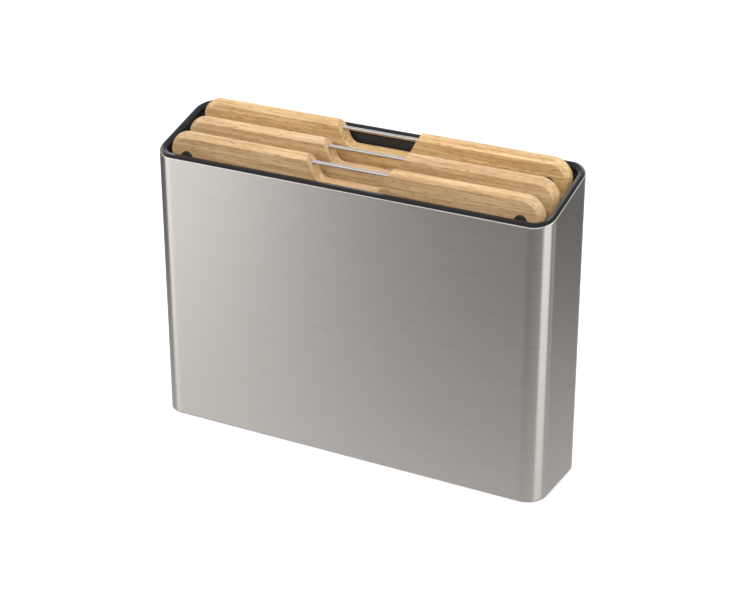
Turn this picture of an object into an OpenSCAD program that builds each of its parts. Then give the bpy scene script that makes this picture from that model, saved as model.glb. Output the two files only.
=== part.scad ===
/* [Case] */
// Width of the case, left to right
case_w = 333.5; // [325:0.5:360]
// Depth of the case, front to back
case_d = 78; // [78:1:90]
// Height of the steel at the front, above its own bottom edge
front_h = 220; // [205:0.1:235]
// Height of the steel at the back, above its own bottom edge
back_h = 244.4; // [235:0.1:260]
// Radius of the upright corners of the case
corner_r = 16; // [14:0.5:20]
// Thickness of the steel sheet
steel_t = 0.8; // [0.5:0.1:1.5]
// Height that the rubber feet lift the steel off the table
foot_lift = 1; // [1:0.5:4]

/* [Top rim] */
// How far in the ridge of the rim lies from the steel's outer face
ridge_inset = 2.8; // [2:0.1:3.5]
// How high the ridge stands above the steel's top edge
ridge_rise = 1.1; // [0.8:0.1:2]
// Width of the whole rim, from the steel's outer face inwards
rim_w = 6; // [5.5:0.1:6.5]

/* [Boards] */
// Length of a board
board_l = 315; // [280:1:316]
// Height of a board as it stands in the case
board_h = 225; // [210:1:226]
// Thickness of a board
board_t = 12; // [10:0.5:13]
// Radius of a board's corners
board_r = 16; // [10:1:25]
// Size of the bevel round a board's edges
bevel = 3.8; // [1:0.1:4.5]
// Distance from one board to the next
pitch = 23.5; // [22.5:0.1:23.5]
// How much higher each board stands than the one in front of it
step_z = 6.5; // [4:0.5:8]
// How far to the right the middle board sits in its slot
middle_shift = 1; // [-1.5:0.1:1.5]
// How far below an even step the middle board stands
middle_drop = 1.2; // [0:0.1:1.5]

/* [Finger notch and bar] */
// Half width of the notch at the top of the board
notch_half = 35.6; // [32:0.1:45]
// Depth of the notch
notch_d = 18.5; // [16:0.1:24]
// Lean of the notch's ends from upright, in degrees
notch_lean = 27.5; // [10:0.5:30]
// Radius where the notch's ends run into its floor
notch_r = 8; // [4:0.5:10]
// Diameter of the steel bar across the notch
bar_d = 3; // [2.5:0.1:4]
// Depth of the bar's centre below the board's top
bar_drop = 5.9; // [5:0.1:7]

/* [Board feet] */
// Diameter of the rubber feet on the boards
pad_d = 10; // [8:0.5:12]
// How far a rubber foot stands out of the wood
pad_h = 2; // [1:0.1:2.2]
// Distance of the feet from the board's centre line
pad_x = 140.8; // [120:0.1:141]
// Distance of the feet from the board's top or bottom edge
pad_in = 19; // [16:0.5:30]

/* [Hidden] */
$fn = 96;
BOARDS = ["front", "middle", "rear"];
PADS = ["upper_left", "upper_right", "lower_left", "lower_right"];
FACES = ["front", "back"];
SIDES = ["left", "right"];
CASE_FEET = ["front_left", "front_right", "back_left", "back_right"];

WOOD = [0.84, 0.68, 0.47];
STEEL = [0.72, 0.70, 0.68];
BAR_STEEL = [0.85, 0.85, 0.86];
PLASTIC = [0.16, 0.17, 0.19];
LINER_BLACK = [0.08, 0.08, 0.09];
RUBBER = [0.10, 0.10, 0.10];

// the case's slanted top
slant = atan((back_h - front_h) / case_d);
top_mid_z = foot_lift + (front_h + back_h) / 2;
top_d = case_d / cos(slant);
too_tall = 400;

// rim section below the ridge
rim_edge = 0.2;
rim_lip = 0.5;
ridge_half = 0.3;
rim_drop = 0.6;
rim_skirt = 3.2;
rim_skirt_inset = 2.2;

// base, liner and their fasteners
fit_gap = 0.3;
base_lift = 0.5;
base_t = 3;
liner_t = 2;
liner_in = rim_w;
base_z = foot_lift + base_lift;
floor_z = base_z + base_t;
inside_z = floor_z + liner_t;
screw_r = 1.5;
screw_fit = 0.2;
screw_head_r = 3;
screw_head_h = 1.6;
screw_l = 7;
boss_r = 3.5;
boss_h = 5;
screw_x = 118;
screw_y = 20;

// rubber feet under the case
case_foot_r = 7;
case_foot_x = 142;
case_foot_y = 24;
case_foot_seat = 1.5;
case_foot_edge = 0.6;
case_foot_step = 0.4;

// boards in their places
middle_y = 1;
first_z = 14.2;
slot_gap = 1;
guide_reach = 11.5;
guide_plate = 1.4;
guide_top = 150;
block_x = 95;
block_w = 14;
block_rib = 12;
bar_grip = 10;
pad_stem_r = 2.5;
pad_stem_l = 4;
pad_round = 0.5;
arc_steps = 12;

function board_x(i) = i == 1 ? middle_shift : 0;
function board_y(i) = middle_y + (i - 1) * pitch;
function board_z(i) = first_z + i * step_z - (i == 1 ? middle_drop : 0);
function board_node(i) = str(BOARDS[i], "_board");
function bar_node(i) = str(BOARDS[i], "_handle_bar");
function pad_node(i, f, p) = str(BOARDS[i], "_board_", FACES[f], "_foot_", PADS[p]);
function guide_node(s) = str(SIDES[s], "_slot_guide");
function block_node(s) = str(SIDES[s], "_step_block");
function case_foot_node(c) = str("case_foot_", CASE_FEET[c]);

// ---- shared shapes ----

// rounded rectangle of the case's plan, drawn in from its outer face
module plan(inset) {
    w = case_w - 2 * inset;
    d = case_d - 2 * inset;
    r = corner_r - inset;
    square([w - 2 * r, d], center = true);
    square([w, d - 2 * r], center = true);
    for (x = [-1, 1], y = [-1, 1])
        translate([x * (w / 2 - r), y * (d / 2 - r)])
            circle(r);
}

// everything below the slanted top, lowered by drop measured square to it
module below_slant(drop) {
    translate([0, 0, top_mid_z])
        rotate([slant, 0, 0])
            translate([-case_w, -case_w, -too_tall - drop])
                cube([2 * case_w, 2 * case_w, too_tall]);
}

// upright tube of the case's plan between two insets, from z0 to the slanted top
module slanted_tube(outer, inner, z0, drop) {
    intersection() {
        translate([0, 0, z0])
            linear_extrude(too_tall)
                difference() {
                    plan(outer);
                    plan(inner);
                }
        below_slant(drop);
    }
}

// ---- the case ----

module steel_sleeve() {
    color(STEEL)
        slanted_tube(0, steel_t, foot_lift, 0);
}

// section of the rim as [inset, height] points, from the steel's edge inwards
function rim_section() = [
    [rim_edge, 0],
    [rim_edge, rim_lip],
    [ridge_inset - ridge_half, ridge_rise],
    [ridge_inset + ridge_half, ridge_rise],
    [rim_w, -rim_drop],
    [rim_w, -rim_skirt],
    [rim_skirt_inset, -rim_skirt],
    [rim_skirt_inset, 0]
];

module rim_corner() {
    rotate_extrude(angle = 90)
        polygon([for (p = rim_section()) [corner_r - p[0], p[1]]]);
}

// straight stretch of the rim along +X, its outer face towards +Y
module rim_run(length) {
    translate([-length / 2, 0, 0])
        rotate([90, 0, 90])
            linear_extrude(length)
                polygon([for (p = rim_section()) [corner_r - p[0], p[1]]]);
}

module top_rim() {
    half_w = case_w / 2 - corner_r;
    // a whole number of hundredths, so that the stretches and the corners meet face to face
    half_d = round((top_d / 2 - corner_r) * 100) / 100;
    color(PLASTIC)
        translate([0, 0, top_mid_z])
            rotate([slant, 0, 0]) {
                translate([half_w, half_d, 0]) rim_corner();
                translate([-half_w, half_d, 0]) rotate(90) rim_corner();
                translate([-half_w, -half_d, 0]) rotate(180) rim_corner();
                translate([half_w, -half_d, 0]) rotate(270) rim_corner();
                translate([0, half_d, 0]) rim_run(2 * half_w);
                translate([0, -half_d, 0]) rotate(180) rim_run(2 * half_w);
                translate([-half_w, 0, 0]) rotate(90) rim_run(2 * half_d);
                translate([half_w, 0, 0]) rotate(270) rim_run(2 * half_d);
            }
}

module at_screws() {
    for (x = [-1, 0, 1], y = [-1, 1])
        translate([x * screw_x, y * screw_y, 0])
            children();
}

// open-topped black box that lines the steel and carries the guides
module inner_liner() {
    outer = liner_in - liner_t;
    color(LINER_BLACK)
        difference() {
            union() {
                slanted_tube(outer, liner_in, floor_z, rim_skirt);
                translate([0, 0, floor_z]) linear_extrude(liner_t) plan(outer);
                translate([0, 0, floor_z]) at_screws() cylinder(h = liner_t + boss_h, r = boss_r);
            }
            translate([0, 0, floor_z - 1])
                at_screws() cylinder(h = liner_t + boss_h, r = screw_r);
        }
}

// plate that closes the bottom of the steel, screwed to the liner from below
module base_plate() {
    color(PLASTIC)
        difference() {
            translate([0, 0, base_z]) linear_extrude(base_t) plan(steel_t + fit_gap);
            at_screws() {
                translate([0, 0, base_z - 1])
                    cylinder(h = base_t + 2, r = screw_r + screw_fit);
                translate([0, 0, base_z - 1])
                    cylinder(h = screw_head_h + 1, r = screw_head_r + screw_fit);
            }
            for (c = [0:3])
                at_case_foot(c)
                    translate([0, 0, base_z - 1])
                        cylinder(h = case_foot_seat + 1, r = case_foot_r);
        }
}

module base_screws() {
    color(BAR_STEEL)
        at_screws() {
            translate([0, 0, base_z]) cylinder(h = screw_head_h, r = screw_head_r);
            translate([0, 0, base_z]) cylinder(h = screw_head_h + screw_l, r = screw_r);
        }
}

module at_case_foot(c) {
    x = c % 2 == 0 ? -case_foot_x : case_foot_x;
    y = c < 2 ? -case_foot_y : case_foot_y;
    translate([x, y, 0]) children();
}

module case_foot(c) {
    tread_r = case_foot_r - case_foot_step;
    rise = foot_lift + base_lift;
    color(RUBBER)
        at_case_foot(c)
            rotate_extrude()
                polygon([
                    [0, 0],
                    [tread_r - case_foot_edge, 0],
                    [tread_r, case_foot_edge],
                    [tread_r, rise],
                    [case_foot_r, rise],
                    [case_foot_r, rise + case_foot_seat],
                    [0, rise + case_foot_seat]
                ]);
}

// comb against the end wall: its fins stand between the boards' ends
module slot_guide(s) {
    fin_x = case_w / 2 - liner_in - guide_reach;
    wall_y = case_d / 2 - liner_in;
    color(LINER_BLACK)
        mirror([s == 0 ? 1 : 0, 0, 0])
            translate([0, 0, inside_z])
                linear_extrude(guide_top - inside_z) {
                    intersection() {
                        difference() {
                            plan(liner_in);
                            plan(liner_in + guide_plate);
                        }
                        translate([fin_x, -wall_y])
                            square([guide_reach, wall_y + board_y(2)]);
                    }
                    intersection() {
                        plan(liner_in);
                        for (i = [0:2]) {
                            low_y = i == 0 ? -wall_y : board_y(i - 1) + board_t / 2 + slot_gap;
                            high_y = board_y(i) - board_t / 2 - slot_gap;
                            translate([fin_x, low_y])
                                square([guide_reach, high_y - low_y]);
                        }
                    }
                }
}

// stepped block: one tread under each board, with ribs that keep them apart
module step_block(s) {
    wall_y = case_d / 2 - liner_in;
    color(LINER_BLACK)
        translate([(s == 0 ? -block_x : block_x) - block_w / 2, 0, 0])
            for (i = [0:2]) {
                low_y = i == 0 ? -wall_y : (board_y(i - 1) + board_y(i)) / 2;
                high_y = i == 2 ? wall_y : (board_y(i) + board_y(i + 1)) / 2;
                translate([0, low_y, inside_z])
                    cube([block_w, high_y - low_y, board_z(i) - inside_z]);
                if (i > 0) {
                    rib_low = board_y(i - 1) + board_t / 2 + slot_gap;
                    rib_high = board_y(i) - board_t / 2 - slot_gap;
                    translate([0, rib_low, inside_z])
                        cube([block_w, rib_high - rib_low, board_z(i) + block_rib - inside_z]);
                }
            }
}

// ---- the boards, each drawn standing on z = 0 and centred on the origin ----

module at_board(i) {
    translate([board_x(i), board_y(i), board_z(i)]) children();
}

// bevelled outline of a board's edge between -half and half, long way up
function bevel_section(low, high) = [
    [-board_t / 2, low + bevel],
    [-board_t / 2 + bevel, low],
    [board_t / 2 - bevel, low],
    [board_t / 2, low + bevel],
    [board_t / 2, high - bevel],
    [board_t / 2 - bevel, high],
    [-board_t / 2 + bevel, high],
    [-board_t / 2, high - bevel]
];

module board_blank() {
    half_x = board_l / 2 - board_r;
    translate([-half_x, 0, 0])
        rotate([90, 0, 90])
            linear_extrude(2 * half_x)
                polygon(bevel_section(0, board_h));
    translate([0, 0, board_r])
        linear_extrude(board_h - 2 * board_r)
            rotate(90)
                polygon(bevel_section(-board_l / 2, board_l / 2));
    for (x = [-half_x, half_x], z = [board_r, board_h - board_r])
        translate([x, 0, z])
            rotate([90, 0, 0])
                rotate_extrude()
                    polygon([
                        [0, -board_t / 2],
                        [board_r - bevel, -board_t / 2],
                        [board_r, -board_t / 2 + bevel],
                        [board_r, board_t / 2 - bevel],
                        [board_r - bevel, board_t / 2],
                        [0, board_t / 2]
                    ]);
}

// right half of the notch's outline: a leaning end that runs in an arc into the floor
function notch_side() =
    let (
        over = 10,
        floor_half = notch_half - notch_d * tan(notch_lean),
        arc_x = floor_half + notch_r * tan(notch_lean) - notch_r / cos(notch_lean),
        arc_z = board_h - notch_d + notch_r
    )
    concat(
        [[notch_half + over * tan(notch_lean), board_h + over]],
        [for (k = [0:arc_steps])
            let (turn = -notch_lean - k * (90 - notch_lean) / arc_steps)
            [arc_x + notch_r * cos(turn), arc_z + notch_r * sin(turn)]]
    );

function mirrored(points) = [for (k = [len(points) - 1:-1:0]) [-points[k][0], points[k][1]]];

module notch_outline() {
    polygon(concat(notch_side(), mirrored(notch_side())));
}

bar_z = board_h - bar_drop;
bar_half = notch_half - bar_drop * tan(notch_lean) + bar_grip;

module board_bar() {
    translate([-bar_half, 0, bar_z])
        rotate([0, 90, 0])
            cylinder(h = 2 * bar_half, d = bar_d);
}

module at_pad(f, p) {
    x = p % 2 == 0 ? -pad_x : pad_x;
    z = p < 2 ? board_h - pad_in : pad_in;
    translate([x, 0, z])
        rotate([f == 0 ? 90 : -90, 0, 0])
            translate([0, 0, board_t / 2])
                children();
}

module board(i) {
    color(WOOD)
        at_board(i)
            difference() {
                board_blank();
                translate([0, board_t, 0])
                    rotate([90, 0, 0])
                        linear_extrude(2 * board_t)
                            notch_outline();
                board_bar();
                for (f = [0:1], p = [0:3])
                    at_pad(f, p)
                        translate([0, 0, -pad_stem_l])
                            cylinder(h = pad_stem_l + 1, r = pad_stem_r);
            }
}

module handle_bar(i) {
    color(BAR_STEEL)
        at_board(i)
            board_bar();
}

// rubber foot: a rounded disc on the wood with a stem pressed into it
module board_pad(i, f, p) {
    color(RUBBER)
        at_board(i)
            at_pad(f, p)
                rotate_extrude()
                    polygon([
                        [0, -pad_stem_l],
                        [pad_stem_r, -pad_stem_l],
                        [pad_stem_r, 0],
                        [pad_d / 2, 0],
                        [pad_d / 2, pad_h - pad_round],
                        [pad_d / 2 - pad_round, pad_h],
                        [0, pad_h]
                    ]);
}

steel_sleeve();
top_rim();
inner_liner();
base_plate();
base_screws();
for (s = [0:1]) slot_guide(s);
for (s = [0:1]) step_block(s);
for (c = [0:3]) case_foot(c);
for (i = [0:2]) board(i);
for (i = [0:2]) handle_bar(i);
for (i = [0:2], f = [0:1], p = [0:3])
    board_pad(i, f, p);
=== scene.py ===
"""Looks for the chopping board set in its slant-topped steel case.

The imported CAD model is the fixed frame. Detailed meshes stand for the case's shell, rim, feet and
screws, and for the boards with their bars and feet. The parts inside the case keep their CAD shapes, with
broken edges. Lengths are in metres.
"""

import math

import bmesh
import bpy
from mathutils import Matrix, Vector

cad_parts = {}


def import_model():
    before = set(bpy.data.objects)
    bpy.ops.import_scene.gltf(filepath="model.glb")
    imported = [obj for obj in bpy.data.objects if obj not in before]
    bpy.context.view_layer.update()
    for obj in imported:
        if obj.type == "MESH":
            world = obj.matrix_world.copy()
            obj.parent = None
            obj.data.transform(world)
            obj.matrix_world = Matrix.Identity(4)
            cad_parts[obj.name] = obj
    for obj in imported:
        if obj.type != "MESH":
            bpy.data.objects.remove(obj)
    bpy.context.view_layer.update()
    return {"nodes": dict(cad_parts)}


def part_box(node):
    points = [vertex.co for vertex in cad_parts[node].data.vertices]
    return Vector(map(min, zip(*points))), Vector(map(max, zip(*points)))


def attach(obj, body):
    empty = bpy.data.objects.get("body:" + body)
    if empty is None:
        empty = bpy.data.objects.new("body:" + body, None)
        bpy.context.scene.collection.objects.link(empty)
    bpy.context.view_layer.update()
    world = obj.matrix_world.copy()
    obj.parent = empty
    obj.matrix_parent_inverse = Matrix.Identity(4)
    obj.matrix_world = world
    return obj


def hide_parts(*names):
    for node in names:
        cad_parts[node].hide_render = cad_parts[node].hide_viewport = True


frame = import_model()

MM = 0.001
BOARDS = ("front", "middle", "rear")
FACES = ("front", "back")
PAD_PLACES = ("upper_left", "upper_right", "lower_left", "lower_right")
CASE_FEET = ("front_left", "front_right", "back_left", "back_right")

# the case
FRONT_HEIGHT = 220 * MM
CORNER_RADIUS = 16 * MM
CORNER_STEPS = 28
CORNER_SUPPORT = 2.5 * MM
STEEL_THICKNESS = 0.8 * MM
# how far the steel's top edge rolls in, over what height
ROLL_IN = 0.6 * MM
ROLL_TALL = 1.3 * MM
ROLL_STEPS = 8

# the boards
BOARD_RADIUS = 16 * MM
BEVEL = 3.8 * MM
# rounding where the bevel meets the face, and where it meets the edge
BEVEL_EDGE = 0.9 * MM
BEVEL_ROUND = 5 * MM
NOTCH_HALF = 35.6 * MM
NOTCH_DEPTH = 18.5 * MM
NOTCH_LEAN = math.radians(27.5)
NOTCH_RADIUS = 8 * MM
NOTCH_TOP_RADIUS = 1.1 * MM
NOTCH_EASE = 0.7 * MM
# how far in from the outline the flat of a board's face starts
FACE_INSET = 7 * MM


# ---- mesh building ----


def fillet(corners, steps=10, support=0.0):
    """Closed outline through (x, y, radius) corners, each rounded with the same number of points.

    A support length adds one more point on each side of every rounding, that far along the straight.
    """
    outline = []
    for i, (x, y, radius) in enumerate(corners):
        here = Vector((x, y))
        if radius == 0:
            outline.append(here)
            continue
        before = (Vector(corners[i - 1][:2]) - here).normalized()
        after = (Vector(corners[(i + 1) % len(corners)][:2]) - here).normalized()
        half = before.angle(after) / 2
        reach = radius / math.tan(half)
        centre = here + (before + after).normalized() * (radius / math.sin(half))
        first = here + before * reach - centre
        last = here + after * reach - centre
        start = math.atan2(first.y, first.x)
        turn = (math.atan2(last.y, last.x) - start + math.pi) % (2 * math.pi) - math.pi
        if support:
            outline.append(here + before * (reach + support))
        for k in range(steps + 1):
            angle = start + turn * k / steps
            outline.append(centre + Vector((math.cos(angle), math.sin(angle))) * radius)
        if support:
            outline.append(here + after * (reach + support))
    return outline


def loft(rings, ends):
    """Vertices and faces of a skin over rings of equal length. ends is "caps" or "joined"."""
    count = len(rings[0])
    vertices = [point for ring in rings for point in ring]
    spans = len(rings) if ends == "joined" else len(rings) - 1
    faces = []
    for k in range(spans):
        low = k * count
        high = (k + 1) % len(rings) * count
        for i in range(count):
            j = (i + 1) % count
            faces.append((low + i, low + j, high + j, high + i))
    if ends == "caps":
        faces.append(tuple(reversed(range(count))))
        faces.append(tuple(range(len(vertices) - count, len(vertices))))
    return vertices, faces


def lathe(profile, segments=64, shape=None):
    """Vertices and faces of (radius, height) points turned about Z, closed by a point at both ends.

    shape(k, angle) scales the radius of profile point k, for recesses that aren't round.
    """
    vertices = [(0, 0, profile[0][1])]
    faces = []
    rings = profile[1:-1]
    for k, (radius, height) in enumerate(rings):
        for i in range(segments):
            angle = 2 * math.pi * i / segments
            r = radius * (shape(k, angle) if shape else 1)
            vertices.append((r * math.cos(angle), r * math.sin(angle), height))
    vertices.append((0, 0, profile[-1][1]))
    last = len(vertices) - 1
    for i in range(segments):
        j = (i + 1) % segments
        faces.append((0, 1 + j, 1 + i))
        for k in range(len(rings) - 1):
            low = 1 + k * segments
            high = low + segments
            faces.append((low + i, low + j, high + j, high + i))
        top = 1 + (len(rings) - 1) * segments
        faces.append((top + i, top + j, last))
    return vertices, faces


def make_mesh(name, vertices, faces, sharp=50):
    """Smooth-shaded mesh with outward faces, sharp where it turns more than the angle in degrees."""
    mesh = bpy.data.meshes.new(name)
    mesh.from_pydata([tuple(v) for v in vertices], [], faces)
    work = bmesh.new()
    work.from_mesh(mesh)
    bmesh.ops.recalc_face_normals(work, faces=work.faces)
    work.to_mesh(mesh)
    work.free()
    mesh.shade_smooth()
    mesh.set_sharp_from_angle(angle=math.radians(sharp))
    return mesh


def place(name, mesh, material, body, nodes, matrix=None):
    """Shows the mesh as a piece that rides on the body and stands for the CAD nodes."""
    piece = bpy.data.objects.new(name, mesh)
    bpy.context.scene.collection.objects.link(piece)
    if not mesh.materials:
        mesh.materials.append(material)
    piece.matrix_world = matrix or Matrix.Identity(4)
    weigh = piece.modifiers.new("weighted_normals", "WEIGHTED_NORMAL")
    weigh.keep_sharp = True
    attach(piece, body)
    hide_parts(*nodes)
    return piece


# ---- material building ----


def start_material(name):
    material = bpy.data.materials.new(name)
    material.use_nodes = True
    return material, material.node_tree, material.node_tree.nodes["Principled BSDF"]


def coordinates(tree):
    return tree.nodes.new("ShaderNodeTexCoord").outputs["Object"]


def noise(tree, vector, frequency, detail=3.0, roughness=0.5, distortion=0.0):
    """Noise with this many features per metre along X, Y and Z."""
    mapping = tree.nodes.new("ShaderNodeMapping")
    mapping.inputs["Scale"].default_value = frequency
    tree.links.new(vector, mapping.inputs["Vector"])
    node = tree.nodes.new("ShaderNodeTexNoise")
    node.inputs["Scale"].default_value = 1
    node.inputs["Detail"].default_value = detail
    node.inputs["Roughness"].default_value = roughness
    node.inputs["Distortion"].default_value = distortion
    tree.links.new(mapping.outputs["Vector"], node.inputs["Vector"])
    return node.outputs["Fac"]


def ramp(tree, source, stops, interpolation="LINEAR"):
    """Colour ramp through (position, colour) stops; a number stands for a grey."""
    node = tree.nodes.new("ShaderNodeValToRGB")
    node.color_ramp.interpolation = interpolation
    elements = node.color_ramp.elements
    while len(elements) < len(stops):
        elements.new(1.0)
    for element, (position, colour) in zip(elements, stops):
        element.position = position
        grey = isinstance(colour, (int, float))
        element.color = (colour, colour, colour, 1) if grey else (*colour, 1)
    tree.links.new(source, node.inputs["Fac"])
    return node.outputs["Color"]


def spread(tree, source, low, high):
    """Maps 0..1 onto low..high."""
    node = tree.nodes.new("ShaderNodeMapRange")
    node.inputs["To Min"].default_value = low
    node.inputs["To Max"].default_value = high
    tree.links.new(source, node.inputs["Value"])
    return node.outputs["Result"]


def math_node(tree, operation, first, second=None):
    node = tree.nodes.new("ShaderNodeMath")
    node.operation = operation
    for socket, value in zip(node.inputs, (first, second)):
        if value is None:
            continue
        if isinstance(value, (int, float)):
            socket.default_value = value
        else:
            tree.links.new(value, socket)
    return node.outputs[0]


def mix_colour(tree, blend, factor, first, second):
    node = tree.nodes.new("ShaderNodeMix")
    node.data_type = "RGBA"
    node.blend_type = blend
    for socket, value in ((node.inputs[0], factor), (node.inputs[6], first), (node.inputs[7], second)):
        if isinstance(value, (int, float)):
            socket.default_value = value
        elif isinstance(value, tuple):
            socket.default_value = (*value, 1)
        else:
            tree.links.new(value, socket)
    return node.outputs[2]


def shade(tree, base, source, stops):
    """The base colour, multiplied by a ramp over the source."""
    return mix_colour(tree, "MULTIPLY", 1.0, base, ramp(tree, source, stops))


def scaled(colour, factor):
    return tuple(min(1, c * factor) for c in colour)


def between(first, second, share):
    return tuple((1 - share) * a + share * b for a, b in zip(first, second))


def mix_shader(tree, factor, first, second):
    node = tree.nodes.new("ShaderNodeMixShader")
    for socket, value in zip(node.inputs, (factor, first, second)):
        tree.links.new(value, socket)
    return node.outputs[0]


def bump(tree, shader, height, strength, distance):
    node = tree.nodes.new("ShaderNodeBump")
    node.inputs["Strength"].default_value = strength
    node.inputs["Distance"].default_value = distance
    tree.links.new(height, node.inputs["Height"])
    tree.links.new(node.outputs["Normal"], shader.inputs["Normal"])


def brushed_steel(name, tint, roughness, anisotropy, frequency, streak):
    """Satin steel: streaks or grain in tone, gloss and height, brushed level all the way round."""
    material, tree, shader = start_material(name)
    where = coordinates(tree)
    fine = noise(tree, where, frequency, detail=4, roughness=0.6)
    broad = noise(tree, where, tuple(f / 9 for f in frequency), detail=2)
    tone = ramp(tree, fine, [(0.3, scaled(tint, 1 - streak)), (0.7, scaled(tint, 1 + streak))])
    tone = shade(tree, tone, broad, [(0.3, 0.975), (0.7, 1.0)])
    tree.links.new(tone, shader.inputs["Base Color"])
    gloss = spread(tree, fine, roughness - 0.03, roughness + 0.03)
    tree.links.new(gloss, shader.inputs["Roughness"])
    shader.inputs["Metallic"].default_value = 1
    shader.inputs["Anisotropic"].default_value = anisotropy
    shader.inputs["Anisotropic Rotation"].default_value = 0.25
    tangent = tree.nodes.new("ShaderNodeTangent")
    tangent.direction_type = "RADIAL"
    tangent.axis = "Z"
    tree.links.new(tangent.outputs["Tangent"], shader.inputs["Tangent"])
    bump(tree, shader, fine, 0.03, 0.05 * MM)
    return material


def plastic(name, tint, roughness, grain, strength):
    """Moulded plastic or rubber with a fine spark-eroded grain in gloss and height, and faint, broad
    changes in tone.
    """
    material, tree, shader = start_material(name)
    where = coordinates(tree)
    fine = noise(tree, where, (grain,) * 3, detail=3, roughness=0.6)
    broad = noise(tree, where, (30, 30, 30), detail=2)
    tone = ramp(tree, broad, [(0.3, scaled(tint, 0.86)), (0.7, scaled(tint, 1.12))])
    tree.links.new(tone, shader.inputs["Base Color"])
    gloss = spread(tree, fine, roughness - 0.06, roughness + 0.08)
    tree.links.new(gloss, shader.inputs["Roughness"])
    bump(tree, shader, fine, strength, 0.1 * MM)
    return material


# height of the staves that a board is glued from
STAVE_TALL = 45 * MM


def board_wood(name, light, dark, seed):
    """Oiled hardwood of glued staves: level grain, growth rings that show on cut ends, short dark pores."""
    material, tree, shader = start_material(name)
    where = coordinates(tree)
    split = tree.nodes.new("ShaderNodeSeparateXYZ")
    tree.links.new(where, split.inputs[0])
    stave = math_node(tree, "FLOOR", math_node(tree, "DIVIDE", split.outputs["Z"], STAVE_TALL))
    chance = tree.nodes.new("ShaderNodeTexWhiteNoise")
    chance.noise_dimensions = "1D"
    tree.links.new(math_node(tree, "ADD", stave, seed), chance.inputs["W"])
    shift = tree.nodes.new("ShaderNodeVectorMath")
    shift.operation = "MULTIPLY_ADD"
    tree.links.new(chance.outputs["Color"], shift.inputs[0])
    shift.inputs[1].default_value = (3.0, 0.3, 0.3)
    tree.links.new(where, shift.inputs[2])
    grain = shift.outputs["Vector"]

    rings = noise(tree, grain, (5, 150, 150), detail=2, roughness=0.4, distortion=0.6)
    bands = math_node(tree, "PINGPONG", math_node(tree, "MULTIPLY", rings, 9.0), 1.0)
    fibres = noise(tree, grain, (28, 1100, 1100), detail=4, roughness=0.6)
    streaks = noise(tree, grain, (26, 420, 420), detail=3, roughness=0.6, distortion=0.3)
    cloud = noise(tree, grain, (9, 60, 60), detail=2)
    pores = noise(tree, grain, (120, 1700, 1700), detail=2, roughness=0.5)

    late_wood = [(0.0, light), (0.62, between(light, dark, 0.24)), (1.0, between(light, dark, 0.42))]
    warm = (0.92, 0.85, 0.76)
    base = ramp(tree, bands, late_wood, "EASE")
    base = shade(tree, base, fibres, [(0.3, 0.85), (0.7, 1.0)])
    base = shade(tree, base, streaks, [(0.36, warm), (0.56, 1.0)])
    base = shade(tree, base, cloud, [(0.35, warm), (0.65, 1.0)])
    base = shade(tree, base, chance.outputs["Value"], [(0, 0.93), (1, 1.0)])
    specks = ramp(tree, pores, [(0.575, 0.0), (0.65, 1.0)])
    base = mix_colour(tree, "MIX", math_node(tree, "MULTIPLY", specks, 0.75), base, dark)
    tree.links.new(base, shader.inputs["Base Color"])
    tree.links.new(spread(tree, fibres, 0.40, 0.56), shader.inputs["Roughness"])
    shader.inputs["Specular IOR Level"].default_value = 0.6
    bump(tree, shader, math_node(tree, "SUBTRACT", fibres, specks), 0.22, 0.12 * MM)
    return material


STEEL = brushed_steel("case_steel", (0.67, 0.63, 0.59), 0.285, 0.90, (16, 16, 2600), 0.024)
BAR_STEEL = brushed_steel("bar_steel", (0.64, 0.63, 0.61), 0.36, 0.0, (900, 900, 900), 0.03)
SCREW_STEEL = brushed_steel("fastener_steel", (0.60, 0.60, 0.61), 0.30, 0.0, (700, 700, 700), 0.06)
RIM = plastic("rim_plastic", (0.008, 0.0095, 0.0125), 0.24, 2600, 0.06)
LINER = plastic("liner_plastic", (0.016, 0.017, 0.020), 0.50, 1800, 0.16)
RUBBER = plastic("pad_rubber", (0.014, 0.014, 0.015), 0.66, 1500, 0.20)
FOOT_RUBBER = plastic("foot_rubber", (0.022, 0.022, 0.023), 0.72, 1300, 0.24)
# The boards share one wood, each with its own seed. The middle and rear boards' light colours are made
# lighter than the front board's: painted light for the bounce that falls on the boards further back.
WOODS = {
    "front": board_wood("front_board_wood", (0.74, 0.530, 0.290), (0.28, 0.13, 0.048), 3.0),
    "middle": board_wood("middle_board_wood", (0.77, 0.555, 0.315), (0.29, 0.14, 0.052), 17.0),
    "rear": board_wood("rear_board_wood", (0.84, 0.600, 0.300), (0.29, 0.13, 0.045), 41.0),
}


# ---- the case ----

sleeve_low, sleeve_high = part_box("steel_sleeve")
CASE_HALF = ((sleeve_high.x - sleeve_low.x) / 2, (sleeve_high.y - sleeve_low.y) / 2)
SLOPE = (sleeve_high.z - sleeve_low.z - FRONT_HEIGHT) / (sleeve_high.y - sleeve_low.y)


def slant_z(y):
    """Height of the case's slanted top at a depth."""
    return sleeve_low.z + FRONT_HEIGHT + (y - sleeve_low.y) * SLOPE


def case_ring(inset):
    """Rounded rectangle of the case's plan, drawn in from its outer face."""
    x = CASE_HALF[0] - inset
    y = CASE_HALF[1] - inset
    r = CORNER_RADIUS - inset
    return fillet([(-x, -y, r), (x, -y, r), (x, y, r), (-x, y, r)], CORNER_STEPS, CORNER_SUPPORT)


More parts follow.
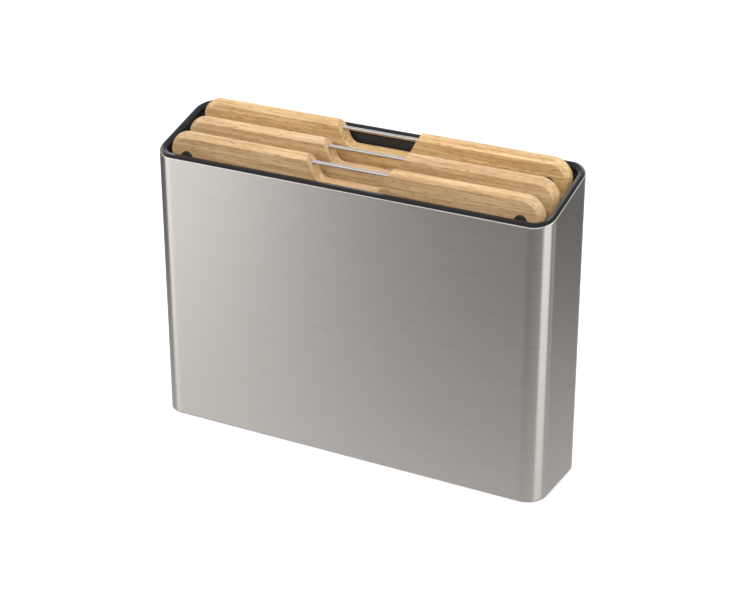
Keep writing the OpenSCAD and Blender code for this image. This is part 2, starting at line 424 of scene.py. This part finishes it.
def sleeve():
    """Bent sheet: its top edge is rolled inwards under the rim, its bottom edge is rounded over."""
    edge = STEEL_THICKNESS / 2
    wall = 1.2 * MM
    top_wall = -ROLL_TALL - wall
    bottom_wall = edge + wall
    rings = []
    for k in range(ROLL_STEPS + 1):
        angle = math.pi / 2 * k / ROLL_STEPS
        rings.append((ROLL_IN * (1 - math.cos(angle)), "top", ROLL_TALL * (math.sin(angle) - 1)))
    rings.append((STEEL_THICKNESS, "top", -edge / 2))
    rings.append((STEEL_THICKNESS, "top", top_wall))
    rings.append((STEEL_THICKNESS, "bottom", bottom_wall))
    for k in range(ROLL_STEPS + 1):
        angle = math.pi * k / ROLL_STEPS
        rings.append((edge + edge * math.cos(angle), "bottom", edge - edge * math.sin(angle)))
    rings.append((0, "bottom", bottom_wall))
    rings.append((0, "top", top_wall))
    skins = []
    for inset, end, rise in rings:
        skin = []
        for p in case_ring(inset):
            base = slant_z(p.y) if end == "top" else sleeve_low.z
            skin.append((p.x, p.y, base + rise))
        skins.append(skin)
    mesh = make_mesh("steel_sleeve", *loft(skins, "joined"))
    return place("steel_sleeve_shell", mesh, STEEL, "case", ["steel_sleeve"])


def rim():
    """Bezel swept round the steel's top edge: (inset, rise above the slant, rounding) corners."""
    section = [
        (0.5, 0.0, 0.05),
        (0.5, 0.2, 0.1),
        (2.6, 1.1, 0.2),
        (3.0, 1.1, 0.2),
        (5.5, 0.55, 0.4),
        (6.0, -0.6, 0.6),
        (6.0, -3.2, 0.3),
        (2.2, -3.2, 0.3),
        (2.2, 0.0, 0.08),
    ]
    loop = fillet([(x * MM, z * MM, r * MM) for x, z, r in section], 6)
    skins = [[(p.x, p.y, slant_z(p.y) + rise) for p in case_ring(inset)] for inset, rise in loop]
    mesh = make_mesh("top_rim", *loft(skins, "joined"))
    return place("top_rim_bezel", mesh, RIM, "case", ["top_rim"])


def case_feet():
    """Turned rubber feet with a shallow hollow in the tread."""
    mesh = None
    for corner in CASE_FEET:
        node = f"case_foot_{corner}"
        low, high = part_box(node)
        radius = (high.x - low.x) / 2
        tall = high.z - low.z
        if mesh is None:
            tread = radius - 0.4 * MM
            hollow = 0.25 * MM
            step = 1.5 * MM
            outline = fillet([
                (0, hollow, 0),
                (tread * 0.55, hollow, 0.4 * MM),
                (tread * 0.68, 0, 0.4 * MM),
                (tread, 0, 0.6 * MM),
                (tread, step, 0.1 * MM),
                (radius, step, 0.15 * MM),
                (radius, tall, 0.2 * MM),
                (0, tall, 0),
            ], 5)
            mesh = make_mesh("case_foot", *lathe(outline))
        centre = (low + high) / 2
        at = Matrix.Translation((centre.x, centre.y, low.z))
        place(f"{node}_rubber", mesh, FOOT_RUBBER, "case", [node], at)


# how many rings of a screw's profile lie in its socket
SOCKET_RINGS = 4


def hexagon(k, angle):
    """Radius factor that makes the innermost rings of a screw head a hexagon socket."""
    if k >= SOCKET_RINGS:
        return 1
    sector = math.pi / 3
    return math.cos(sector / 2) / math.cos((angle % sector) - sector / 2)


def base_screws():
    """Pan-head screws with hexagon sockets, seen from below the case."""
    low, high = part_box("base_screws")
    head = 3 * MM
    head_tall = 1.6 * MM
    socket = 1.5 * MM
    socket_deep = 1.0 * MM
    shank = 1.5 * MM
    taper = 0.6 * MM
    tall = high.z - low.z
    outline = [
        Vector((0, socket_deep)),
        Vector((socket * 0.96, socket_deep)),
        Vector((socket, 0.9 * MM)),
        Vector((socket, 0.12 * MM)),
        Vector((socket * 1.08, 0)),
    ]
    outline += fillet([
        (socket * 1.2, 0, 0),
        (head, 0, 0.6 * MM),
        (head, head_tall, 0.1 * MM),
        (shank, head_tall, 0),
        (shank, tall - taper, 0),
        (shank * 0.6, tall, 0),
        (0, tall, 0),
    ], 6)
    points, skin = lathe(outline, 48, hexagon)
    vertices = []
    faces = []
    for x in (low.x + head, 0, high.x - head):
        for y in (low.y + head, high.y - head):
            start = len(vertices)
            vertices += [(px + x, py + y, pz + low.z) for px, py, pz in points]
            faces += [tuple(start + i for i in face) for face in skin]
    mesh = make_mesh("base_screws", vertices, faces, 40)
    return place("base_screws_socket_heads", mesh, SCREW_STEEL, "case", ["base_screws"])


def inside_parts():
    """The parts inside the case keep their CAD shapes, with broken edges."""
    names = ["inner_liner", "base_plate"]
    names += [f"{side}_{kind}" for side in ("left", "right") for kind in ("slot_guide", "step_block")]
    for name in names:
        node = frame["nodes"][name]
        for entry in node.material_slots:
            entry.material = LINER
        # the seams between CAD faces are closed first, so that only true edges are broken
        node.modifiers.new("joined", "WELD").merge_threshold = 0.001 * MM
        edges = node.modifiers.new("broken_edges", "BEVEL")
        edges.width = 0.3 * MM
        edges.segments = 2
        edges.limit_method = "ANGLE"
        edges.angle_limit = math.radians(50)


# ---- the boards, each drawn standing on z = 0 and centred on its own length and thickness ----

board_low, board_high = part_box("front_board")
LENGTH, THICKNESS, HEIGHT = board_high - board_low


def board_outline(inset, ease):
    """Outline of a board at one depth: its edge drawn in by inset, its notch widened by ease."""
    x = LENGTH / 2 - inset
    low = inset
    high = HEIGHT - inset
    r = BOARD_RADIUS - inset
    lean = math.tan(NOTCH_LEAN)
    wide = NOTCH_HALF + ease / math.cos(NOTCH_LEAN)
    lip = wide - inset * lean
    corner = wide - (NOTCH_DEPTH + ease) * lean
    corner_z = HEIGHT - NOTCH_DEPTH - ease
    return fillet([
        (-x, low, r),
        (x, low, r),
        (x, high, r),
        (lip, high, NOTCH_TOP_RADIUS),
        (corner, corner_z, NOTCH_RADIUS + ease),
        (-corner, corner_z, NOTCH_RADIUS + ease),
        (-lip, high, NOTCH_TOP_RADIUS),
        (-x, high, r),
    ], 10, 0.8 * MM)


def board_mesh():
    """Board with bevels that roll into its edge, and a notch cut straight through with eased edges."""
    half = THICKNESS / 2
    section = fillet([
        (-half, FACE_INSET, 0),
        (-half, BEVEL, BEVEL_EDGE),
        (-half + BEVEL, 0, BEVEL_ROUND),
        (half - BEVEL, 0, BEVEL_ROUND),
        (half, BEVEL, BEVEL_EDGE),
        (half, FACE_INSET, 0),
    ], 9)
    bevel_start = BEVEL + BEVEL_EDGE * math.tan(math.pi / 8)
    rings = []
    for y, inset in section:
        depth = min(half - abs(y), NOTCH_EASE)
        ease = NOTCH_EASE - math.sqrt(max(0, NOTCH_EASE**2 - (NOTCH_EASE - depth) ** 2))
        ease += max(0, inset - bevel_start)
        rings.append([(p.x, y, p.y) for p in board_outline(inset, ease)])
    return make_mesh("board", *loft(rings, "caps"), 35)


def bar_mesh(length, radius):
    """Lifting bar along Z, with its ends rounded where they are pressed into the wood."""
    outline = fillet([(0, 0, 0), (radius, 0, 0.4 * MM), (radius, length, 0.4 * MM), (0, length, 0)], 5)
    return make_mesh("handle_bar", *lathe(outline, 40))


def pad_mesh(radius, rise):
    """Rubber foot: a disc with a rolled edge and a slightly domed face, its base just inside the wood."""
    sunk = 0.4 * MM
    outline = fillet([
        (0, -sunk, 0),
        (radius - 0.15 * MM, -sunk, 0.1 * MM),
        (radius, 0.35 * MM, 0.3 * MM),
        (radius, rise - 0.12 * MM, 0.7 * MM),
        (radius * 0.4, rise, 1.5 * MM),
        (0, rise, 0),
    ], 6)
    return make_mesh("board_foot", *lathe(outline, 56), 60)


def boards():
    bar_low, bar_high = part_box("front_handle_bar")
    bar = bar_mesh(bar_high.x - bar_low.x, (bar_high.z - bar_low.z) / 2)
    pad_low, pad_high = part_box("front_board_front_foot_upper_left")
    pad = pad_mesh((pad_high.x - pad_low.x) / 2, board_low.y - pad_low.y)
    for board in BOARDS:
        body = f"{board}_board_body"
        low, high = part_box(f"{board}_board")
        middle = (low + high) / 2
        at = Matrix.Translation((middle.x, middle.y, low.z))
        node = f"{board}_board"
        place(f"{node}_wood", board_mesh(), WOODS[board], body, [node], at)
        node = f"{board}_handle_bar"
        low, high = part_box(node)
        at = Matrix.Translation((low.x, middle.y, (low.z + high.z) / 2))
        at = at @ Matrix.Rotation(math.pi / 2, 4, "Y")
        place(f"{node}_rod", bar, BAR_STEEL, body, [node], at)
        for face in FACES:
            sign = -1 if face == "front" else 1
            for spot in PAD_PLACES:
                node = f"{board}_board_{face}_foot_{spot}"
                low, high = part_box(node)
                centre = (low + high) / 2
                wood_y = middle.y + sign * THICKNESS / 2
                turn = Matrix.Rotation(-sign * math.pi / 2, 4, "X")
                at = Matrix.Translation((centre.x, wood_y, centre.z)) @ turn
                place(f"{node}_rubber", pad, RUBBER, body, [node], at)


# ---- studio ----

# radiance that gloss sees round the horizon: (azimuth in degrees, brightness), 0 looking to the front
STUDIO = [
    (-180, 0.34),
    (-168, 0.30),
    (-156, 0.14),
    (-120, 0.10),
    (-68, 0.10),
    (-60, 1.28),
    (-33.3, 1.28),
    (-29.5, 0.05),
    (-12, 0.07),
    (20, 0.12),
    (58, 0.20),
    (68, 1.15),
    (105, 1.15),
    (111, 0.10),
    (118, 0.10),
    (124, 0.40),
    (134, 0.38),
    (146, 0.10),
    (160, 0.10),
    (170, 0.30),
    (180, 0.34),
]
# what gloss sees above it, as (sine of elevation, brightness); the first stop is where it starts
GLOSS_SKY = [(0.30, 0.0), (0.42, 2.3), (0.60, 2.3), (0.74, 0.30)]
# light that falls on everything else: (sine of elevation, brightness)
SKY = [(0.0, 0.12), (0.06, 0.42), (0.50, 0.50), (0.78, 1.60)]
# brightness of the white behind the object
BACKDROP = 1.05
# how much of the pale floor gloss sees: (distance from the case in metres, share)
FLOOR_SHARE = [(0.0, 0.66), (0.45, 0.10), (0.9, 0.0)]
FLOOR_GLOW = 0.70
# half the floor's width in metres, and the light of its own that lifts it to white
FLOOR_HALF = 8
FLOOR_LIFT = 0.12
# how far the softboxes stand from the point that they face
LIGHT_DISTANCE = 1.6
LIGHT_TARGET = Vector((0, 0, 0.15))


def world():
    """Soft studio: white behind the object for the camera, panels round it for light and reflections."""
    made = bpy.data.worlds.new("studio")
    bpy.context.scene.world = made
    made.use_nodes = True
    tree = made.node_tree
    tree.nodes.clear()
    direction = tree.nodes.new("ShaderNodeTexCoord").outputs["Generated"]
    split = tree.nodes.new("ShaderNodeSeparateXYZ")
    tree.links.new(direction, split.inputs[0])
    rays = tree.nodes.new("ShaderNodeLightPath")
    frontwards = math_node(tree, "MULTIPLY", split.outputs["Y"], -1.0)
    angle = math_node(tree, "ARCTAN2", split.outputs["X"], frontwards)
    turn = math_node(tree, "ADD", math_node(tree, "DIVIDE", angle, 2 * math.pi), 0.5)
    panels = ramp(tree, turn, [(a / 360 + 0.5, v) for a, v in STUDIO], "EASE")
    start, full = GLOSS_SKY[0][0], GLOSS_SKY[1][0]
    share = ramp(tree, split.outputs["Z"], [(start, 0.0), (full, 1.0)])
    mirrored = mix_colour(tree, "MIX", share, panels, ramp(tree, split.outputs["Z"], GLOSS_SKY[1:]))
    fallen = ramp(tree, split.outputs["Z"], SKY)
    light = mix_colour(tree, "MIX", rays.outputs["Is Glossy Ray"], fallen, mirrored)
    lit = tree.nodes.new("ShaderNodeBackground")
    tree.links.new(light, lit.inputs["Color"])
    seen = tree.nodes.new("ShaderNodeBackground")
    seen.inputs["Color"].default_value = (1, 1, 1, 1)
    seen.inputs["Strength"].default_value = BACKDROP
    choose = mix_shader(tree, rays.outputs["Is Camera Ray"], lit.outputs[0], seen.outputs[0])
    out = tree.nodes.new("ShaderNodeOutputWorld")
    tree.links.new(choose, out.inputs["Surface"])


def case_distance(tree, where):
    """Distance from the case's plan, along the floor."""
    vector = where
    for operation, value in (
        ("ABSOLUTE", None),
        ("SUBTRACT", (*CASE_HALF, 0)),
        ("MAXIMUM", (0, 0, 0)),
        ("LENGTH", None),
    ):
        node = tree.nodes.new("ShaderNodeVectorMath")
        node.operation = operation
        tree.links.new(vector, node.inputs[0])
        if value:
            node.inputs[1].default_value = value
        vector = node.outputs["Value" if operation == "LENGTH" else "Vector"]
    return vector


def floor():
    """Plain pale floor, lit up to white except where the object shades it.

    Gloss sees it pale beside the case, and sees through it to the studio further off.
    """
    mesh = bpy.data.meshes.new("floor")
    corners = [(x * FLOOR_HALF, y * FLOOR_HALF, 0) for x, y in ((-1, -1), (1, -1), (1, 1), (-1, 1))]
    mesh.from_pydata(corners, [], [(0, 1, 2, 3)])
    material, tree, shader = start_material("floor_white")
    where = coordinates(tree)
    tone = ramp(tree, noise(tree, where, (2, 2, 2)), [(0, 0.88), (1, 0.9)])
    tree.links.new(tone, shader.inputs["Base Color"])
    shader.inputs["Roughness"].default_value = 0.9
    shader.inputs["Specular IOR Level"].default_value = 0
    shader.inputs["Emission Color"].default_value = (1, 1, 1, 1)
    shader.inputs["Emission Strength"].default_value = FLOOR_LIFT
    glow = tree.nodes.new("ShaderNodeEmission")
    glow.inputs["Strength"].default_value = FLOOR_GLOW
    share = ramp(tree, case_distance(tree, where), FLOOR_SHARE)
    through = tree.nodes.new("ShaderNodeBsdfTransparent")
    mirrored = mix_shader(tree, share, through.outputs[0], glow.outputs[0])
    rays = tree.nodes.new("ShaderNodeLightPath")
    both = mix_shader(tree, rays.outputs["Is Glossy Ray"], shader.outputs[0], mirrored)
    tree.links.new(both, tree.nodes["Material Output"].inputs["Surface"])
    mesh.materials.append(material)
    ground = bpy.data.objects.new("floor", mesh)
    bpy.context.scene.collection.objects.link(ground)
    ground.visible_diffuse = False


def area_light(name, azimuth, elevation, size, power):
    """Square softbox that faces the object, placed by azimuth and elevation round it."""
    a = math.radians(azimuth)
    e = math.radians(elevation)
    back = Vector((math.sin(a) * math.cos(e), -math.cos(a) * math.cos(e), math.sin(e)))
    data = bpy.data.lights.new(name, "AREA")
    data.shape = "SQUARE"
    data.size = size
    data.energy = power
    lamp = bpy.data.objects.new(name, data)
    bpy.context.scene.collection.objects.link(lamp)
    lamp.rotation_mode = "QUATERNION"
    lamp.location = LIGHT_TARGET + back * LIGHT_DISTANCE
    lamp.rotation_quaternion = (-back).to_track_quat("-Z", "Y")
    lamp.visible_glossy = False


def camera():
    """Camera at the photograph's viewing angle."""
    azimuth = math.radians(28.495)
    elevation = math.radians(24.266)
    roll = math.radians(-0.097)
    distance = 1.45847
    target = Vector((3.472, 0.987, 118.25)) * MM
    back = Vector((
        math.sin(azimuth) * math.cos(elevation),
        -math.cos(azimuth) * math.cos(elevation),
        math.sin(elevation),
    ))
    right = (-back).cross(Vector((0, 0, 1))).normalized()
    up = right.cross(-back)
    x_axis = math.cos(roll) * right + math.sin(roll) * up
    y_axis = -math.sin(roll) * right + math.cos(roll) * up
    data = bpy.data.cameras.new("camera")
    data.lens = 91.705
    data.sensor_width = 36
    data.clip_end = 50
    view = bpy.data.objects.new("camera", data)
    bpy.context.scene.collection.objects.link(view)
    turn = Matrix((x_axis, y_axis, back)).transposed().to_4x4()
    view.matrix_world = Matrix.Translation(target + back * distance) @ turn
    bpy.context.scene.camera = view


sleeve()
rim()
case_feet()
base_screws()
inside_parts()
boards()
world()
floor()
area_light("key", azimuth=8, elevation=42, size=1.4, power=15.3)
area_light("fill", azimuth=84, elevation=34, size=1.2, power=5.0)
camera()
bpy.context.scene.view_settings.view_transform = "Standard"
